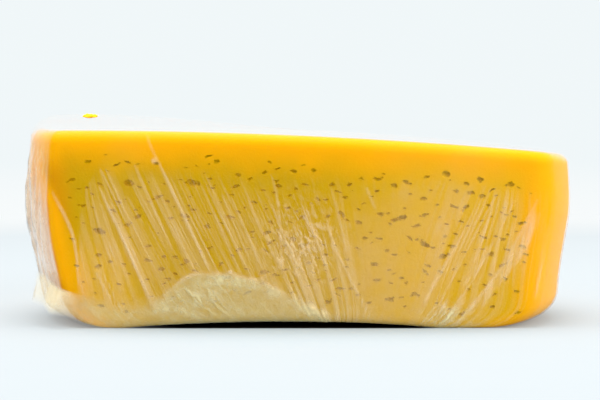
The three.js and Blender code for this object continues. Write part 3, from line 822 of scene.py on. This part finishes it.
def eye_tree(finish):
    """Carves ragged hollows at the eye places, round after round where hollows run together."""
    tree, given = new_tree("carve eyes", {"Ragged edge": EYE_RAGGED_EDGE}, objects=["Eye places"])
    points = node(tree, "GeometryNodeObjectInfo", {"Object": given["Eye places"]})
    size = stored(tree, "eye_size", "FLOAT_VECTOR")
    lump = node(tree, "GeometryNodeMeshIcoSphere", {"Radius": 0.5, "Subdivisions": EYE_LUMP_STEPS})
    turn = vector_of(tree, 0.0, stored(tree, "eye_tilt"), 0.0)
    width = parts_of(tree, size)["X"]
    reach = product(tree, width, given["Ragged edge"])
    carved = keep(tree, given["Geometry"], "eye_wall", 0.0, "FACE")
    for carving_round in range(EYE_ROUNDS):
        chosen = arithmetic(tree, "COMPARE", stored(tree, "eye_round"), float(carving_round), 0.1)
        placed = node(tree, "GeometryNodeInstanceOnPoints", {
            "Points": points.outputs["Geometry"], "Selection": chosen, "Instance": lump.outputs["Mesh"],
            "Rotation": turn, "Scale": size})
        lumps = node(tree, "GeometryNodeRealizeInstances", {"Geometry": placed.outputs[0]})
        ragged = pushed(tree, lumps.outputs[0], torn_direction(tree, EYE_TEAR_SCALE, 1.0), reach)
        hollows = keep(tree, ragged, "eye_wall", 1.0, "FACE")
        carved = node(tree, "GeometryNodeMeshBoolean", {"Mesh 1": carved, "Mesh 2": hollows},
                      operation="DIFFERENCE", solver="MANIFOLD").outputs[0]
    return finish_tree(tree, carved, finish)


def set_input(modifier, name, value):
    for item in modifier.node_group.interface.items_tree:
        if item.item_type == "SOCKET" and item.in_out == "INPUT" and item.name == name:
            modifier[item.identifier] = value


def eye_points():
    eyes = eye_hollows()
    flat = np.column_stack([eyes[:, 0], np.full(len(eyes), -CUT_FROM_AXIS), eyes[:, 1]])
    mesh = bpy.data.meshes.new("eye_places")
    centres = settle(flat)
    centres[:, 1] -= EYE_STANDS_OUT * EYE_DEPTH * eyes[:, 2]
    mesh.from_pydata(centres.tolist(), [], [])
    sizes = np.column_stack([eyes[:, 2], 2.0 * EYE_DEPTH * eyes[:, 2], eyes[:, 3]])
    layer = mesh.attributes.new("eye_size", "FLOAT_VECTOR", "POINT")
    layer.data.foreach_set("vector", sizes.astype(np.float32).ravel())
    set_point_values(mesh, "eye_tilt", eyes[:, 4])
    set_point_values(mesh, "eye_round", eyes[:, 5])
    return object_of("eye_places", mesh)


def make_cheese(finish):
    columns = CHEESE_COLUMNS
    count = sum(columns.values())
    rings = np.concatenate([
        cap_rings(0.0, np.linspace(*CHEESE_BASE_RINGS), columns),
        side_rings(ring_heights(CHEESE_ROWS), columns),
        cap_rings(WHEEL_HEIGHT, np.linspace(*CHEESE_TOP_RINGS), columns)])
    faces = ring_faces(len(rings), count)
    base_centre = len(rings) * count
    top_centre = base_centre + 1
    last = (len(rings) - 1) * count
    for i in range(count):
        j = (i + 1) % count
        faces.append((j, i, base_centre))
        faces.append((last + i, last + j, top_centre))
    points = np.concatenate([rings.reshape(-1, 3), cap_centre(0.0), cap_centre(WHEEL_HEIGHT)])
    body = object_of("cheese_uncarved", mesh_of("cheese_uncarved", points, faces))
    places = eye_points()
    modifier = body.modifiers.new("eyes", "NODES")
    modifier.node_group = eye_tree(finish)
    set_input(modifier, "Eye places", places)
    cheese = finished(body, "cheese_piece")
    bpy.data.objects.remove(places)
    cheese.data.set_sharp_from_angle(angle=SHARP_EDGE)
    return cheese


def crumb_tree(finish):
    """A broken flake of cheese: a flat lump with a torn, grainy surface."""
    sizes = {"Length": CRUMB["length"], "Depth": CRUMB["depth"], "Height": CRUMB["height"]}
    tree, given = new_tree("crumb", sizes)
    lump = node(tree, "GeometryNodeMeshIcoSphere", {"Radius": 0.5, "Subdivisions": CRUMB["lump_steps"]})
    flake = node(tree, "GeometryNodeTransform", {
        "Geometry": lump.outputs["Mesh"], "Scale": vector_of(tree, *(given[name] for name in sizes)),
        "Translation": crumb_place(), "Rotation": CRUMB["turn"]})
    torn = torn_direction(tree, CRUMB["tear_scale"], 3.0)
    return finish_tree(tree, pushed(tree, flake.outputs[0], torn, CRUMB["ragged_edge"]), finish)


def crumb_place():
    on_top = settle(np.array([[CRUMB["x"], CRUMB["y"], WHEEL_HEIGHT]]))[0]
    return (on_top[0], on_top[1], on_top[2] + FILM_GAP + 0.5 * CRUMB["height"])


def crumb_finish():
    """Bright yellow paste of a fresh crumb."""
    material, tree = new_material("crumb_paste")
    place = shaded_place(tree)
    grain = noise_at(tree, place, 1800.0, 3.0)
    colour = colour_mix(tree, grain, CRUMB_YELLOW, CRUMB_WARM)
    paste = node(tree, "ShaderNodeBsdfPrincipled", {
        "Base Color": colour, "Roughness": 0.6, "Specular IOR Level": 0.1})
    surface(tree, paste)
    return material


def make_crumb(finish):
    mesh = bpy.data.meshes.new("crumb_start")
    start = object_of("crumb_start", mesh)
    start.modifiers.new("crumb", "NODES").node_group = crumb_tree(finish)
    crumb = finished(start, "crumb_piece")
    crumb.visible_glossy = False
    return crumb


# The film

def leaning_rings(heights, columns):
    """Rings whose columns on the cut face follow the lines along which the film is pulled."""
    chord = columns["chord"]
    rings = []
    for z in heights:
        plan = outline_at(z, columns)
        left, right = plan[0, 0], plan[chord, 0]
        x = plan[:chord, 0]
        pull = FOLD_LEAN["slope"] * (FOLD_LEAN["z"] - min(z, FOLD_LEAN["top"])) / FOLD_LEAN["reach"]
        across = (x - FOLD_LEAN["x"]) / FOLD_LEAN["reach"]
        drawn = FOLD_LEAN["x"] + FOLD_LEAN["reach"] * np.arcsinh(np.sinh(across) * math.exp(-pull))
        held = smooth(0.0, FOLD_LEAN["ends"], x - left) * smooth(0.0, FOLD_LEAN["ends"], right - x)
        plan[:chord, 0] = x + (drawn - x) * held
        rings.append(np.column_stack([plan, np.full(len(plan), z)]))
    return np.stack(rings)


def run_along_wrap(columns):
    """Distance of each column along the outline from the middle of the cut face, left negative."""
    plan = outline_at(FOLD_LEAN["z"], columns)
    step = np.linalg.norm(np.roll(plan, -1, axis=0) - plan, axis=1)
    along = np.concatenate([[0.0], np.cumsum(step)[:-1]])
    chord = plan[:columns["chord"], 0]
    run = along + chord[0]
    whole = step.sum()
    return np.where(run > whole / 2, run - whole, run), whole


def distance_to_line(x, z, start, end):
    """Distance from a line piece, and how far along it (0 to 1) the nearest place is."""
    dx, dz = end[0] - start[0], end[1] - start[1]
    share = np.clip(((x - start[0]) * dx + (z - start[1]) * dz) / (dx * dx + dz * dz), 0.0, 1.0)
    return np.hypot(x - start[0] - share * dx, z - start[1] - share * dz), share


def rounded(places):
    """The places of a line with its bends rounded off."""
    line = np.array(places)
    for _ in range(2 if len(line) > 2 else 0):
        first, rest = line[:-1], line[1:]
        cut = np.stack([0.75 * first + 0.25 * rest, 0.25 * first + 0.75 * rest], axis=1).reshape(-1, 2)
        line = np.concatenate([line[:1], cut[1:-1], line[-1:]])
    return line


def near_line(x, z, places):
    """Distance from a line with rounded bends, and the share of its length at the nearest place."""
    line = rounded(places)
    steps = np.linalg.norm(line[1:] - line[:-1], axis=1)
    whole, passed = steps.sum(), 0.0
    near, along = np.full_like(x, 1.0), np.zeros_like(x)
    for start, end, step in zip(line, line[1:], steps):
        off, share = distance_to_line(x, z, start, end)
        closer = off < near
        near = np.where(closer, off, near)
        along = np.where(closer, (passed + share * step) / whole, along)
        passed += step
    return near, along


def end_taper(along):
    """1 along most of a line, falling to 0 at its two ends."""
    return np.clip(5.0 * along * (1.0 - along), 0.0, 1.0) ** 0.5


def ridge(off, half_width):
    """1 on a line, falling straight to 0 at its half width."""
    return np.clip(1.0 - off / half_width, 0.0, 1.0)


def strong_wrinkles(x, z, on_cut):
    height = np.zeros_like(x)
    for places, half_width, strength in STRONG_WRINKLES:
        near, along = near_line(x, z, places)
        taper = end_taper(along)
        width = half_width * (0.45 + 0.55 * taper)
        height = np.maximum(height, strength * (0.35 + 0.65 * taper) * ridge(near, width))
    return height * on_cut


def broad_folds(x, z):
    """Haze added by wide pale folds, and the share that clear gaps between folds leave of it."""
    added, left = np.zeros_like(x), np.ones_like(x)
    for places, half_width, haze in BROAD_FOLDS:
        near, along = near_line(x, z, places)
        taper = end_taper(along)
        inside = taper * smooth(0.0, 0.55, 1.0 - near / half_width)
        if haze > 0.0:
            added = np.maximum(added, haze * inside)
        else:
            left = np.minimum(left, 1.0 + haze * inside)
    return added, left


def fine_wrinkles(run, z):
    """Many short straight wrinkles along the folds, each tapering out at its two ends."""
    draw = Draw(WRINKLE_SEED)
    height = np.zeros_like(run)
    for group in FINE_WRINKLES:
        step = (group["to"] - group["from"]) / group["count"]
        for i in range(group["count"]):
            place = group["from"] + step * (i + draw.between(0.1, 0.9))
            low = draw.between(*group["low"])
            high = max(low + 0.003, draw.between(*group["high"]))
            strength = draw.between(0.25, 0.9)
            half_width = group["width"] * draw.between(0.7, 1.5)
            drift = draw.between(-0.06, 0.06)
            off = np.abs(run - place - drift * (z - low))
            along = np.clip((z - low) / (high - low), 0.0, 1.0)
            taper = np.sqrt(np.clip(4.0 * along * (1.0 - along), 0.0, 1.0))
            height = np.maximum(height, strength * taper * ridge(off, half_width))
    return height


def film_spot(name, along, up):
    middle, height, reach, rise = FILM_SPOTS[name]
    return bell((along - middle) / reach) * bell((up - height) / rise)


def cloudiness(x, z):
    """Milkiness of the film, blended between the places where it is given."""
    total = np.zeros_like(x)
    weight = np.full_like(x, 1e-9)
    for px, pz, amount in CLOUD_PLACES:
        near = np.exp(-((x - px) ** 2 + (z - pz) ** 2) / (2.0 * CLOUD_REACH ** 2))
        total += near * amount
        weight += near
    return total / weight


def film_tree(finish):
    """Lifts the clinging film into its folds and crackle, and records where it stands off."""
    tree, given = new_tree("film folds", FOLD_HEIGHTS)
    place = mesh_place(tree)
    z = parts_of(tree, place)["Z"]
    run, tension, bunch = (stored(tree, name) for name in ("fold_place", "tension", "bunch"))
    wrinkle, crumple, flap = (stored(tree, name) for name in ("wrinkle", "crumple", "flap"))
    strips = product(tree, fold_strips(tree, run, z)[0], tension)
    crushed = product(tree, flecks(tree, place, run, z), crumple)
    pleats = product(tree, fold_gathers(tree, run, z), bunch)
    height = product(tree, wrinkle, given["Wrinkle height"])
    folds = {"Strip height": strips, "Crackle height": crushed, "Bunch height": pleats, "Layer height": flap}
    for name, shape in folds.items():
        height = plus(tree, shape, given[name], height)
    height = product(tree, height, ramp_between(tree, z, HEM_LIES_FLAT["below"], HEM_LIES_FLAT["above"]))
    loose = largest(tree, bunch, product(tree, largest(tree, strips, flap), 0.35))
    air = largest(tree, wrinkle, crushed, loose)
    film = keep(tree, given["Geometry"], "air_gap", air)
    return finish_tree(tree, pushed(tree, film, mesh_normal(tree), height), finish)


def outward_normals(rings):
    along = np.roll(rings, -1, axis=1) - np.roll(rings, 1, axis=1)
    up = np.gradient(rings, axis=0)
    normals = np.cross(along, up)
    return normals / np.linalg.norm(normals, axis=2, keepdims=True)


def give_thickness(obj):
    wall = obj.modifiers.new("thickness", "SOLIDIFY")
    wall.thickness = FILM_THICKNESS
    wall.offset = 1.0


def left_side_film(run, y, z, off_cut, below_start):
    """Film on the left side: its swell and bunched folds, all of it, what hangs loose and what clings."""
    swell = smooth(0.0, 0.006, y + CUT_FROM_AXIS) * bell((run - BUNCH_RUN["middle"]) / BUNCH_RUN["reach"])
    bunch = swell * (0.45 + 0.55 * smooth(0.018, 0.034, z))
    bunch = bunch * smooth(0.001, 0.006, z) * smooth(0.006, 0.022, below_start)
    left_side = off_cut * smooth(-0.155, -0.120, run) * (1.0 - smooth(-0.074, -0.070, run))
    hanging = left_side * smooth(0.004, 0.024, below_start)
    return swell, bunch, left_side, hanging, film_spot("clinging", run, z) * left_side


def second_layer(x, z, on_cut):
    """The film's second layer along the bottom of the cut face, and the wrinkle along its upper edge."""
    edge_x, edge_z = np.array(FLAP_EDGE).T
    edge = np.interp(x, edge_x, edge_z, left=edge_z[0], right=0.0)
    layer = smooth(-0.0006, 0.0010, edge - z) * on_cut * (0.78 + 0.22 * smooth(-0.052, -0.036, x))
    line = ridge(np.abs(edge - z), LAYER_EDGE_WIDTH) * on_cut * smooth(-0.046, -0.040, x)
    return layer, 0.40 * line * smooth(0.0005, 0.003, edge) * (1.0 - smooth(-0.016, -0.006, x))


def free_of_cling(x, z):
    """0 on the film that clings along the left of the cut face, 1 to the right of it."""
    cling_z, cling_x = np.array(CLING_EDGE).T
    return smooth(-0.0007, 0.0007, x - np.interp(z, cling_z, cling_x))


def even_film(x, z, on_cut):
    """The part right of the middle of the cut face where the film is evenly milky, with few lines."""
    even = smooth(0.008, 0.020, x) * (1.0 - smooth(0.030, 0.046, x - 0.15 * z))
    return even * (1.0 - smooth(0.036, 0.046, z)) * on_cut


def cut_cloud(x, z, on_cut, clear, even):
    """Milkiness of the film on the cut face, with its wide folds and the gaps between them."""
    pale_fold, clear_share = broad_folds(x, z)
    cloud = CLOUD_STRENGTH * cloudiness(x, z) * on_cut * clear
    cloud = (cloud * (1.0 + 1.3 * even) + pale_fold * on_cut) * np.where(on_cut > 0.0, clear_share, 1.0)
    return cloud * (1.0 - 0.7 * film_spot("less_cloudy", x, z))


def film_traits(rings, run, whole):
    """Where on the film each kind of fold and haze shows, as one value a point."""
    x, y, z = rings[..., 0], rings[..., 1], rings[..., 2]
    on_cut = 1.0 - smooth(0.0007, np.where(x < 0.0, 0.0022, 0.006), y + CUT_FROM_AXIS)
    off_cut = 1.0 - on_cut
    below_top = top_height(x, y) - z
    side = smooth(0.0002, 0.003, below_top)
    uneven_start = 0.005 * np.sin(260.0 * run) + 0.003 * np.sin(610.0 * run + 1.0)
    below_start = below_top + uneven_start * off_cut
    seam = smooth(0.0, 0.02, whole / 2 - np.abs(run))
    band = smooth(0.0, 0.0015, z) * smooth(0.009 - 0.003 * off_cut, 0.016 + 0.012 * off_cut, below_start)
    taut = 1.0 - 0.8 * bell((run - TAUT_RUN["middle"]) / TAUT_RUN["reach"])
    swell, bunch, left_side, hanging, clinging = left_side_film(run, y, z, off_cut, below_start)
    flap, flap_edge = second_layer(x, z, on_cut)
    free = free_of_cling(x, z)
    even = even_film(x, z, on_cut)
    gathered = film_spot("gathered", x, z) * on_cut

    fine = 0.6 * fine_wrinkles(run, z) * seam * band * taut * (1.0 - 0.92 * even) * (1.0 - 0.85 * flap)
    wrinkle = np.maximum(np.maximum(strong_wrinkles(x, z, on_cut), fine), flap_edge)
    crumple = np.maximum(film_spot("crumpled", x, z) * on_cut, 0.9 * gathered)
    crumple = np.maximum(crumple, flap * (0.12 + 0.55 * film_spot("layer_crush", x, z)))
    unlined = film_spot("unlined", x, z) * on_cut
    drawn = np.where(on_cut > 0.5, free, 1.0) * (1.0 - 0.93 * even) * (1.0 - 0.85 * unlined)
    drawn = drawn * (1.0 - 0.75 * flap) * (1.0 - 0.45 * hanging)
    sway = off_cut * (0.0022 * np.sin(85.0 * z + 70.0 * run) + 0.0010 * np.sin(190.0 * z - 130.0 * run))

    rind_cloud = 0.12 + 0.32 * hanging * (1.0 - 0.8 * clinging) + 0.06 * left_side
    cloud = cut_cloud(x, z, on_cut, (1.0 - flap) * free, even) + 0.20 * gathered
    cloud = cloud + off_cut * (side * rind_cloud + 0.10 * (1.0 - side))
    cream = flap * (1.0 - 0.45 * smooth(-0.022, -0.004, x))
    cream = np.clip(cream + 0.8 * gathered + 0.5 * on_cut * bell(z / 0.008), 0.0, 1.0)
    humped = bell((x - HUMP["x"]) / HUMP["reach_x"]) * bell((y - 0.5 * HUMP["y"]) / HUMP["reach_y"])
    return {"fold_place": run + sway, "tension": band * seam * taut * drawn, "bunch": bunch, "flap": flap,
            "wrinkle": wrinkle, "crumple": crumple + 0.12 * bunch + 0.8 * clinging, "cloud": cloud,
            "cream": cream, "speckle": 0.12 + 0.32 * cream,
            "pale": np.clip(0.80 * hanging + 0.30 * wrinkle * on_cut, 0.0, 1.0),
            "line_haze": 0.09 * on_cut + 0.13 * off_cut, "top": 1.0 - side,
            "glare": 0.62 * hanging * (1.0 - 0.7 * clinging) + 0.06 * left_side * side,
            "sheen": 0.12 + 0.4 * swell, "top_sheen": (1.0 - side) * (1.5 + 2.6 * humped)}


def make_film_wrap(finish):
    columns = FILM_COLUMNS
    count = len(outline_at(FOLD_LEAN["z"], columns))
    heights = ring_heights(FILM_ROWS)
    heights = heights[heights > FILM_HEM]
    even = leaning_rings(heights, columns)
    rim = even[-1]
    shares = np.linspace(*FILM_TOP_RINGS)
    cap = np.stack([rim * [share, share, 1.0] + [*((1.0 - share) * CAP_CENTRE), 0.0] for share in shares])
    rings = settle(np.concatenate([even, cap]))
    rings = rings + FILM_GAP * outward_normals(rings)
    run, whole = run_along_wrap(columns)
    traits = film_traits(rings, np.broadcast_to(run, rings.shape[:2]), whole)
    apex = cap_centre(WHEEL_HEIGHT) + np.array([[0.0, 0.0, FILM_GAP]])
    points = np.concatenate([rings.reshape(-1, 3), apex])
    faces = ring_faces(len(rings), count)
    last = (len(rings) - 1) * count
    faces += [(last + i, last + (i + 1) % count, len(points) - 1) for i in range(count)]
    mesh = mesh_of("film_clinging", points, faces)
    for name, values in traits.items():
        set_point_values(mesh, name, np.append(values.ravel(), values[-1].mean()))
    film = object_of("film_clinging", mesh)
    film.modifiers.new("folds", "NODES").node_group = film_tree(finish)
    give_thickness(film)
    return finished(film, "film_wrap_piece")


def pocket_grid(columns, rows):
    """The loose film round the lower left corner, from the cut face round to the left side."""
    reach, drop = np.meshgrid(np.linspace(0.0, 1.0, columns), np.linspace(1.0, 0.0, rows))
    radius = WHEEL_RADIUS - rind_inset(POCKET["top_back"])
    corner_x = math.sqrt(radius ** 2 - CUT_FROM_AXIS ** 2)
    run = -POCKET["front"] + (POCKET["front"] + POCKET["back"]) * reach
    angle = math.atan2(-CUT_FROM_AXIS, -corner_x) - np.maximum(run, 0.0) / radius
    turn = smooth(-POCKET_RUFFLE["turn"], POCKET_RUFFLE["turn"], run)
    radial = np.stack([np.cos(angle), np.sin(angle)], axis=-1)
    outward = turn[..., None] * radial + (1.0 - turn[..., None]) * np.array([0.0, -1.0])
    outward = outward / np.linalg.norm(outward, axis=-1, keepdims=True)
    plan = radius * radial
    plan[..., 0] -= np.minimum(run, 0.0)
    plan[..., 0] += side_draw(plan[..., 0], POCKET["top_back"])
    phase = 2.0 * math.pi * POCKET_RUFFLE["waves"] * reach
    rise = smooth(0.0, 0.6, reach)
    top = POCKET["top_front"] + (POCKET["top_back"] - POCKET["top_front"]) * rise
    hem = POCKET["hem_front"] + (POCKET["hem_back"] - POCKET["hem_front"]) * (1.0 - (1.0 - reach) ** 2.2)
    hem = hem + POCKET_RUFFLE["scallop"] * np.abs(np.sin(phase / 2))
    wave = POCKET_RUFFLE["wave"] * np.sin(phase + 2.0 * drop)
    flare = (POCKET_RUFFLE["flare"] + wave) * np.sin(math.pi * reach) * drop ** 1.3
    plan = plan + outward * (POCKET_STANDOFF + flare)[..., None]
    return np.concatenate([plan, (top + (hem - top) * drop)[..., None]], axis=-1), reach, drop


def pocket_tree(finish):
    """Crushes the loose film into small creases, and records where it is milky."""
    tree, given = new_tree("pocket creases", {"Crease height": POCKET_CREASE})
    place = mesh_place(tree)
    creased = crest(tree, noise_at(tree, place, 75.0, 1.0), 0.22)
    height = product(tree, minus(tree, creased, 0.4), given["Crease height"])
    edge_noise = minus(tree, noise_at(tree, place, 260.0, 2.0), 0.5)
    along = plus(tree, edge_noise, 0.10, stored(tree, "round_corner"))
    down = plus(tree, edge_noise, 0.12, stored(tree, "down"))
    veil = product(tree, ramp_between(tree, along, 0.10, 0.26), ramp_between(tree, along, 0.92, 0.42),
                   ramp_between(tree, down, 1.04, 0.62), ramp_between(tree, down, -0.06, 0.16))
    film = keep(tree, given["Geometry"], "milky", product(tree, veil, plus(tree, creased, 0.14, 0.38)))
    return finish_tree(tree, pushed(tree, film, mesh_normal(tree), height), finish)


def make_film_pocket(finish):
    columns, rows = POCKET_MESH["columns"], POCKET_MESH["rows"]
    grid, reach, drop = pocket_grid(columns, rows)
    mesh = mesh_of("pocket_sheet", grid.reshape(-1, 3), ring_faces(rows, columns, closed=False))
    for name, value in POCKET_LOOKS.items():
        set_point_values(mesh, name, np.full((rows, columns), value))
    set_point_values(mesh, "fold_place", (POCKET["front"] + POCKET["back"]) * reach)
    set_point_values(mesh, "round_corner", reach)
    set_point_values(mesh, "down", drop)
    pocket = object_of("pocket_sheet", mesh)
    pocket.modifiers.new("creases", "NODES").node_group = pocket_tree(finish)
    give_thickness(pocket)
    return finished(pocket, "film_pocket_piece")


# Stage, light and camera

CAMERA_DISTANCE = 0.600
CAMERA_HEIGHT = 0.0641
CAMERA_PITCH = math.radians(2.55)
PIXEL_AT_CUT = 0.00029
IMAGE_WIDTH = 600
SENSOR_MM = 36.0
SURROUND = (0.875, 0.93, 0.945)
FLOOR_WHITE = (0.400, 0.450, 0.480)
FLOOR_GLOW = (0.935, 0.965, 0.970)
FLOOR_HALF = 6.0
FLOOR_LINES = 25
# The side lights stay out of the film's reflections, so that the top doesn't turn white from the side
SOFT_BOXES = [
    {"name": "top_light", "place": (-0.05, 0.05, 0.80), "aim": (0.0, 0.02, 0.03), "size": (0.8, 0.6),
     "power": 8.0, "mirrored": True},
    {"name": "right_light", "place": (0.70, -0.25, 0.30), "aim": (0.0, 0.0, 0.03), "size": (0.4, 0.4),
     "power": 2.6, "mirrored": False},
    {"name": "left_light", "place": (-0.70, -0.10, 0.30), "aim": (0.0, 0.0, 0.03), "size": (0.4, 0.4),
     "power": 0.7, "mirrored": False},
    {"name": "front_light", "place": (0.40, -0.80, 0.45), "aim": (0.0, 0.0, 0.03), "size": (0.5, 0.4),
     "power": 1.4, "mirrored": True},
]


def make_stage():
    """A wide pale floor."""
    steps = np.linspace(-FLOOR_HALF, FLOOR_HALF, FLOOR_LINES)
    points = np.array([(x, y, 0.0) for y in steps for x in steps])
    faces = ring_faces(len(steps), len(steps), closed=False)
    stage = object_of("studio_floor", mesh_of("studio_floor", points, faces))
    stage.data.materials.append(stage_finish())


def soft_box(name, place, aim, size, power, mirrored):
    lamp = bpy.data.lights.new(name, "AREA")
    lamp.shape = "RECTANGLE"
    lamp.size, lamp.size_y = size
    lamp.energy = power
    box = object_of(name, lamp)
    box.visible_glossy = mirrored
    box.location = place
    box.rotation_euler = (Vector(aim) - Vector(place)).to_track_quat("-Z", "Y").to_euler()


def make_light():
    world = bpy.data.worlds.new("studio")
    world.use_nodes = True
    bpy.context.scene.world = world
    tree = world.node_tree
    tree.nodes.clear()
    sky = node(tree, "ShaderNodeBackground", {"Color": (*SURROUND, 1.0), "Strength": 1.0})
    node(tree, "ShaderNodeOutputWorld", {"Surface": sky.outputs[0]})
    for box in SOFT_BOXES:
        soft_box(**box)
    bpy.context.scene.view_settings.view_transform = "Standard"


def make_camera():
    lens = bpy.data.cameras.new("photo_camera")
    focal_pixels = CAMERA_DISTANCE / PIXEL_AT_CUT
    lens.sensor_width = SENSOR_MM
    lens.lens = focal_pixels * SENSOR_MM / IMAGE_WIDTH
    lens.clip_start = 0.01
    camera = object_of("photo_camera", lens)
    camera.location = (0.0, -CUT_FROM_AXIS - CAMERA_DISTANCE, CAMERA_HEIGHT)
    camera.rotation_euler = (math.pi / 2 - CAMERA_PITCH, 0.0, 0.0)
    bpy.context.scene.camera = camera


def declare(piece, slot, *nodes):
    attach(piece, "root")
    if nodes:
        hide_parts(*nodes)


def main():
    make_camera()
    make_stage()
    make_light()
    declare(make_cheese(cheese_finish()), "cheese", "cheese")
    declare(make_crumb(crumb_finish()), "cheese")
    declare(make_film_wrap(film_finish("clear_film")), "film", "film_wrap")
    declare(make_film_pocket(film_finish("bunched_film")), "film_bunched", "film_pocket")


main()
